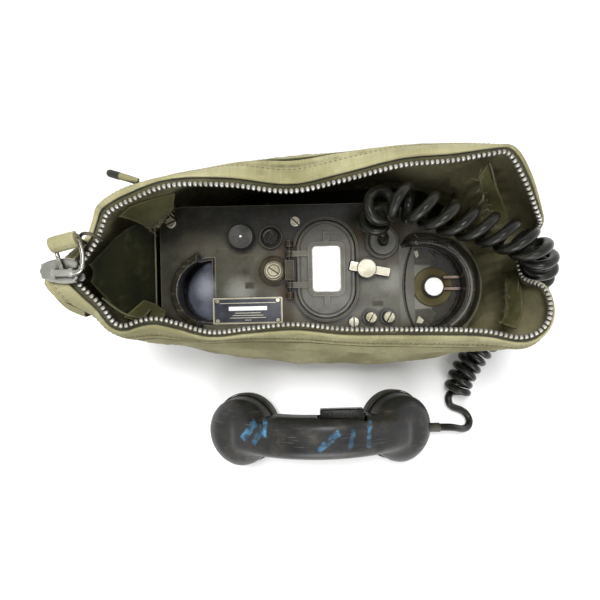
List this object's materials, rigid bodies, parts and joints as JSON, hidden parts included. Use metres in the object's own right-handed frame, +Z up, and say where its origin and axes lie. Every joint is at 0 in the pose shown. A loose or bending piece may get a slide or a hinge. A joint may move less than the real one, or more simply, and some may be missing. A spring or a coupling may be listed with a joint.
{
  "type": "field telephone",
  "caption": "Field telephone in an open zipped canvas bag, with hand generator, battery cover, cradle cups, and a handset on a curly cord.",
  "frame": {"origin": "on the floor under the middle of the telephone's case", "axes": "+X along the case from the left cradle to the right one, +Y away from the handset, +Z up"},
  "size_m": [0.3598, 0.2779, 0.1766],
  "materials": {
    "canvas": "worn olive canvas",
    "webbing": "woven cotton",
    "zip_metal": "dull, tarnished",
    "grey_metal": "worn",
    "bright_wire": "scratched",
    "olive_paint": "chipped enamel",
    "cup_paint": "chipped, worn bright at its edges",
    "bare_steel": "worn",
    "brass": "worn bright",
    "black_rubber": "matt",
    "cord_rubber": "smooth",
    "black_plastic": "worn",
    "dark_plastic": "plain",
    "white_plastic": "worn",
    "plate_metal": "dark blank face with a pale border",
    "inner_box": "plain",
    "cell_case": "plain sleeve",
    "generator_steel": "plain",
    "coil_winding": "varnished",
    "capsule_metal": "plain"
  },
  "bodies": {
    "root": {"bag_back_wall": "canvas", "bag_floor": "canvas", "bag_front_wall": "canvas", "bag_left_wall": "canvas", "bag_right_wall": "canvas", "battery_box": "inner_box", "battery_contacts": "brass", "buzzer": "inner_box", "case_body": "olive_paint", "cord_coil": "cord_rubber", "cord_gland": "black_rubber", "cradle_bars": "bare_steel", "dry_cells": "cell_case", "front_panel": "olive_paint", "generator_frame": "generator_steel", "generator_magnets": "generator_steel", "hinge_pin": "bare_steel", "hook_frame": "dark_plastic", "hook_seal": "black_rubber", "hook_spring": "bare_steel", "induction_coil": "coil_winding", "left_cradle": "olive_paint", "name_plate": "plate_metal", "panel_gasket": "black_rubber", "panel_screws": "bare_steel", "plate_rivets": "brass", "post_bases": "dark_plastic", "right_cradle": "cup_paint", "selector_switch": "dark_plastic", "strap_end": "webbing", "volume_control": "dark_plastic", "zip_chain_back": "zip_metal", "zip_chain_front": "zip_metal", "zip_slider": "grey_metal"},
    "battery_cover": {"battery_cover": "olive_paint", "writing_pad": "white_plastic"},
    "cover_latch": {"cover_latch": "bare_steel"},
    "volume_knob": {"volume_knob": "black_plastic"},
    "line_switch": {"line_switch": "dark_plastic"},
    "selector": {"selector": "brass"},
    "hook_plunger": {"hook_plunger": "white_plastic"},
    "line_post_left": {"line_post_left": "brass"},
    "line_post_right": {"line_post_right": "brass"},
    "crank": {"crank_shaft": "bare_steel", "crank_arm": "bare_steel", "drive_gear": "generator_steel"},
    "crank_grip": {"crank_grip": "black_plastic"},
    "rotor": {"rotor": "generator_steel", "rotor_pinion": "generator_steel"},
    "zip_pull": {"zip_pull": "bright_wire", "webbing_loop": "webbing"},
    "handset": {"handset_shell": "black_plastic", "receiver_cap": "black_plastic", "receiver_capsule": "capsule_metal", "transmitter_cap": "black_plastic", "transmitter_capsule": "capsule_metal", "talk_switch": "dark_plastic", "cord_sleeve": "black_rubber", "cord_lead": "cord_rubber"},
    "talk_bar": {"talk_bar": "dark_plastic"}
  },
  "joints": [
    {"name": "cover_hinge", "type": "hinge", "parent": "root", "child": "battery_cover", "pos_m": [-0.0245, 0.0022, 0.1038], "axis": [0, -1, 0], "range_deg": [0, 110]},
    {"name": "latch_turn", "type": "hinge", "parent": "root", "child": "cover_latch", "pos_m": [0.0349, 0.002, 0.1], "axis": [0, 0, 1], "range_deg": [-35, 35]},
    {"name": "volume_turn", "type": "hinge", "parent": "root", "child": "volume_knob", "pos_m": [-0.0616, 0.0288, 0.1], "axis": [0, 0, 1], "range_deg": [-135, 135]},
    {"name": "line_switch_turn", "type": "hinge", "parent": "root", "child": "line_switch", "pos_m": [-0.0388, 0.0281, 0.1], "axis": [0, 0, 1], "range_deg": [0, 90]},
    {"name": "selector_turn", "type": "hinge", "parent": "root", "child": "selector", "pos_m": [-0.0369, 0.002, 0.1], "axis": [0, 0, 1], "range_deg": [-45, 45]},
    {"name": "hook_press", "type": "slide", "parent": "root", "child": "hook_plunger", "axis": [0, 0, -1], "range_m": [0, 0.004], "stiffness_N_per_m": 300, "springref_m": -0.003, "deforming": ["hook_spring"]},
    {"name": "left_post_press", "type": "slide", "parent": "root", "child": "line_post_left", "axis": [0, 0, -1], "range_m": [0, 0.003], "stiffness_N_per_m": 500, "springref_m": -0.003},
    {"name": "right_post_press", "type": "slide", "parent": "root", "child": "line_post_right", "axis": [0, 0, -1], "range_m": [0, 0.003], "stiffness_N_per_m": 500, "springref_m": -0.003},
    {"name": "crank_turn", "type": "hinge", "parent": "root", "child": "crank", "pos_m": [-0.048, 0.055, 0.046], "axis": [0, 1, 0], "continuous": true},
    {"name": "crank_grip_turn", "type": "hinge", "parent": "crank", "child": "crank_grip", "pos_m": [-0.048, 0.065, 0.018], "axis": [0, 1, 0], "continuous": true},
    {"name": "rotor_turn", "type": "hinge", "parent": "root", "child": "rotor", "pos_m": [-0.07806, 0.02, 0.046], "axis": [0, 1, 0], "continuous": true},
    {"name": "zip_pull_swing", "type": "hinge", "parent": "root", "child": "zip_pull", "pos_m": [-0.164, 0, 0.1716], "axis": [1, 0, 0], "range_deg": [0, 150]},
    {"name": "handset_lift", "type": "slide", "parent": "root", "child": "handset", "axis": [0, 0, 1], "range_m": [0, 0.1]},
    {"name": "talk_press", "type": "slide", "parent": "handset", "child": "talk_bar", "axis": [0, -1, 0], "range_m": [0, 0.003], "stiffness_N_per_m": 400, "springref_m": -0.003}
  ],
  "couplings": [
    {"joint": "rotor_turn", "follows": "crank_turn", "ratio": -4}
  ]
}
